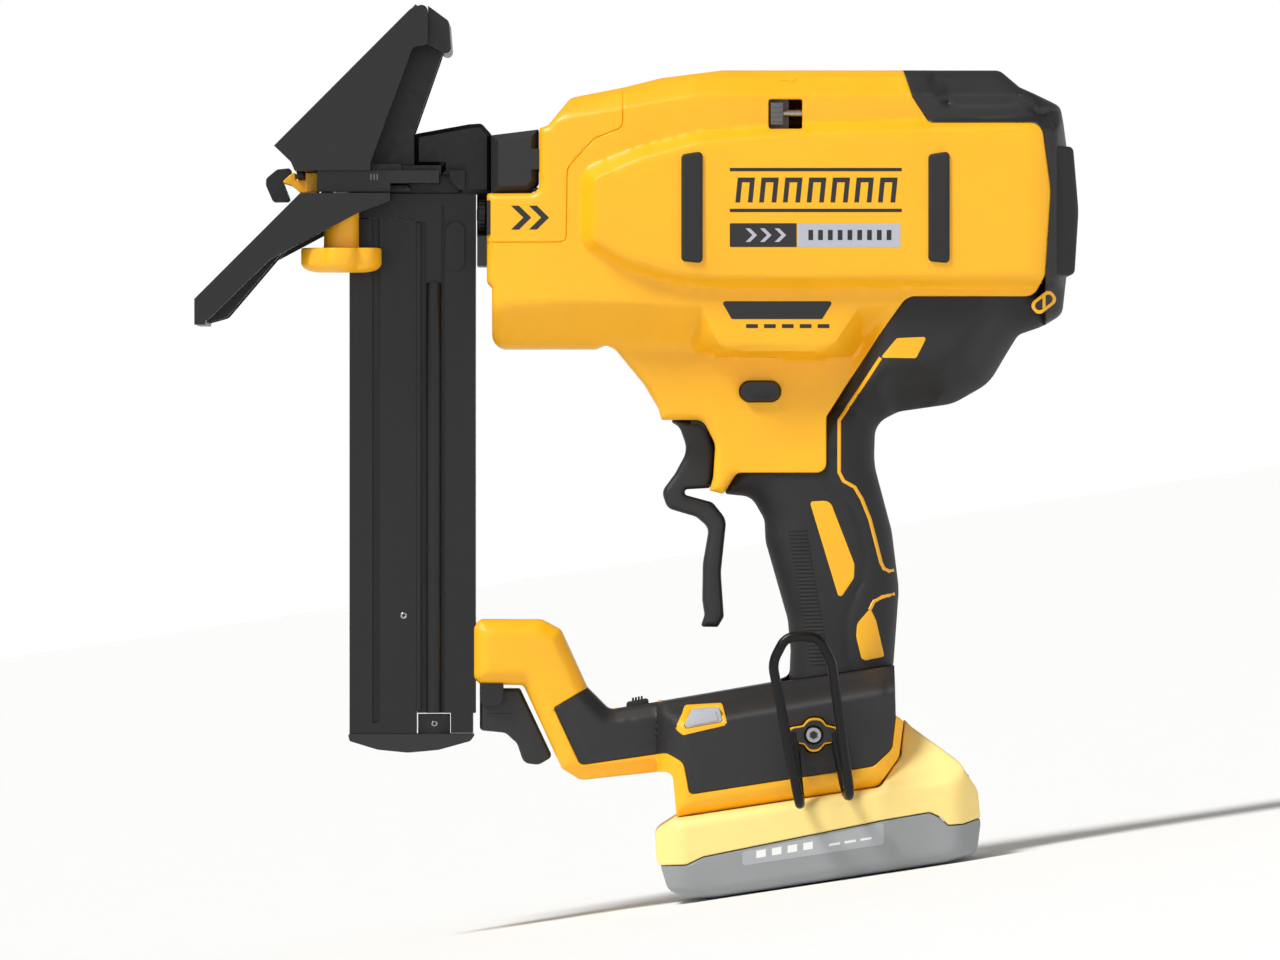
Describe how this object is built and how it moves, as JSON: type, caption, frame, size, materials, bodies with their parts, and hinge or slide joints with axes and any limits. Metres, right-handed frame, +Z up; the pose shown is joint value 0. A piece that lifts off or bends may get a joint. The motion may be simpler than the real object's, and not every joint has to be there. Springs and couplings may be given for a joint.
{
  "type": "cordless flooring stapler",
  "caption": "Cordless flooring stapler with an angled adjustable floor foot, drop-down magazine, long curved trigger, belt hook and slide-on battery pack.",
  "frame": {"origin": "centre of the flat underside of the battery pack, which is the face the tool stands on", "axes": "+Z up from the floor; +X to the rear of the tool, along the battery rail; -X to the nose and feet; -Y side carries the belt hook"},
  "size_m": [0.3205, 0.0975, 0.3321],
  "materials": {
    "yellow_shell": "fine-textured moulded nylon",
    "pack_shell": "fine-textured moulded plastic",
    "pack_tray": "satin moulded plastic",
    "dark_shell": "fine-textured moulded nylon",
    "grip_rubber": "soft overmould, fine ribs",
    "black_steel": "black oxide and e-coat",
    "black_anodised": "black anodised extrusion",
    "cast_nose": "painted die casting",
    "bright_steel": "ground steel",
    "wire_steel": "black powder-coated wire",
    "grey_plastic": "satin moulded plastic",
    "clear_lens": "clear moulded lens",
    "board": "coated circuit board",
    "copper_winding": "enamelled winding",
    "cell_jacket": "shrink sleeve"
  },
  "bodies": {
    "housing": {"left_housing": "yellow_shell", "right_housing": "yellow_shell", "nose_cover": "yellow_shell", "rear_cover": "dark_shell", "rear_bumper": "grip_rubber", "side_bumper_strips": "grip_rubber", "left_grip_overmould": "grip_rubber", "right_grip_overmould": "grip_rubber", "left_base_panel": "dark_shell", "right_base_panel": "dark_shell", "trigger_pin": "bright_steel", "trigger_switch": "dark_shell", "nose_plate": "black_steel", "nose_body": "cast_nose", "nose_bridge": "dark_shell", "upper_foot": "black_steel", "shoe_guide_screw": "bright_steel", "depth_wheel_bracket": "dark_shell", "magazine_body": "black_anodised", "magazine_bracket": "bright_steel", "staple_strip": "bright_steel", "latch_pin": "bright_steel", "driver_guide_rods": "bright_steel", "driver_bumpers": "grip_rubber", "motor_stator": "copper_winding", "motor_bearings": "bright_steel", "motor_cradle": "cast_nose", "arm_pivot": "cast_nose", "solenoid": "grey_plastic", "led_lens": "clear_lens", "control_board": "board", "terminal_block": "dark_shell", "belt_hook": "wire_steel", "belt_hook_bracket": "dark_shell", "belt_hook_screw": "bright_steel", "housing_screws": "bright_steel"},
    "trigger": {"trigger": "dark_shell"},
    "lock_off": {"lock_off_button": "dark_shell"},
    "stall_release": {"stall_release_slider": "grey_plastic", "stall_release_spring": "bright_steel"},
    "selector": {"mode_selector": "dark_shell"},
    "shoe": {"board_shoe": "black_steel"},
    "clamp": {"clamp_knob": "yellow_shell", "clamp_stud": "bright_steel"},
    "contact_trip": {"contact_prongs": "black_steel", "contact_carrier": "yellow_shell"},
    "depth_wheel": {"depth_wheel": "dark_shell"},
    "magazine_slide": {"magazine_slide": "black_anodised", "magazine_cap": "dark_shell"},
    "pusher": {"staple_pusher": "grey_plastic", "pusher_coil_spring": "bright_steel"},
    "latch": {"magazine_latch": "dark_shell"},
    "driver": {"driver": "bright_steel"},
    "flywheel": {"flywheel": "bright_steel"},
    "press_arm": {"activation_arm": "bright_steel"},
    "press_roller": {"pinch_roller": "bright_steel"},
    "battery": {"battery_upper_case": "pack_shell", "battery_lower_case": "pack_tray", "battery_cells": "cell_jacket"},
    "battery_latch": {"battery_release_button": "grey_plastic"}
  },
  "joints": [
    {"name": "trigger_pull", "type": "hinge", "parent": "housing", "child": "trigger", "pos_m": [-0.01672, 0, 0.17567], "axis": [0, -1, 0], "range_deg": [0, 5], "stiffness_Nm_per_rad": 0.5},
    {"name": "lock_off_push", "type": "slide", "parent": "housing", "child": "lock_off", "axis": [0, 1, 0], "range_m": [0, 0.0026]},
    {"name": "stall_release_slide", "type": "slide", "parent": "housing", "child": "stall_release", "axis": [0.9888, 0, -0.1495], "range_m": [0, 0.004], "stiffness_N_per_m": 150},
    {"name": "mode_select", "type": "slide", "parent": "housing", "child": "selector", "axis": [0.9995, 0, 0.0308], "range_m": [-0.0034, 0.0034]},
    {"name": "shoe_adjust", "type": "slide", "parent": "housing", "child": "shoe", "axis": [0.9888, 0, -0.1495], "range_m": [-0.004, 0.004]},
    {"name": "clamp_turn", "type": "hinge", "parent": "housing", "child": "clamp", "pos_m": [-0.13339, -0.0275, 0.26553], "axis": [0.1495, 0, 0.9888], "range_deg": [-180, 180]},
    {"name": "contact_press", "type": "slide", "parent": "housing", "child": "contact_trip", "axis": [0.9888, 0, -0.1495], "range_m": [0, 0.004], "stiffness_N_per_m": 400},
    {"name": "depth_wheel_turn", "type": "hinge", "parent": "housing", "child": "depth_wheel", "pos_m": [-0.08438, -0.008, 0.25458], "axis": [0.9888, 0, -0.1495], "continuous": true},
    {"name": "magazine_draw", "type": "slide", "parent": "housing", "child": "magazine_slide", "axis": [-0.1495, 0, -0.9888], "range_m": [0, 0.09]},
    {"name": "pusher_feed", "type": "slide", "parent": "magazine_slide", "child": "pusher", "axis": [-0.1495, 0, -0.9888], "range_m": [0, 0.127]},
    {"name": "latch_squeeze", "type": "hinge", "parent": "housing", "child": "latch", "pos_m": [-0.10701, 0, 0.08152], "axis": [0, 1, 0], "range_deg": [0, 9], "stiffness_Nm_per_rad": 0.3},
    {"name": "driver_stroke", "type": "slide", "parent": "housing", "child": "driver", "axis": [-0.9888, 0, 0.1495], "range_m": [0, 0.038], "stiffness_N_per_m": 60},
    {"name": "flywheel_spin", "type": "hinge", "parent": "housing", "child": "flywheel", "pos_m": [0.0104, 0, 0.22255], "axis": [0, 1, 0], "continuous": true},
    {"name": "press_arm_swing", "type": "hinge", "parent": "housing", "child": "press_arm", "pos_m": [0.05668, 0, 0.26106], "axis": [0, 1, 0], "range_deg": [0, 3], "stiffness_Nm_per_rad": 2},
    {"name": "press_roller_spin", "type": "hinge", "parent": "press_arm", "child": "press_roller", "pos_m": [0.01602, 0, 0.25972], "axis": [0, 1, 0], "continuous": true},
    {"name": "battery_slide", "type": "slide", "parent": "housing", "child": "battery", "axis": [1, 0, 0], "range_m": [0, 0.07]},
    {"name": "battery_latch_press", "type": "slide", "parent": "battery", "child": "battery_latch", "axis": [-0.75, 0, -0.6614], "range_m": [0, 0.002], "stiffness_N_per_m": 400}
  ]
}
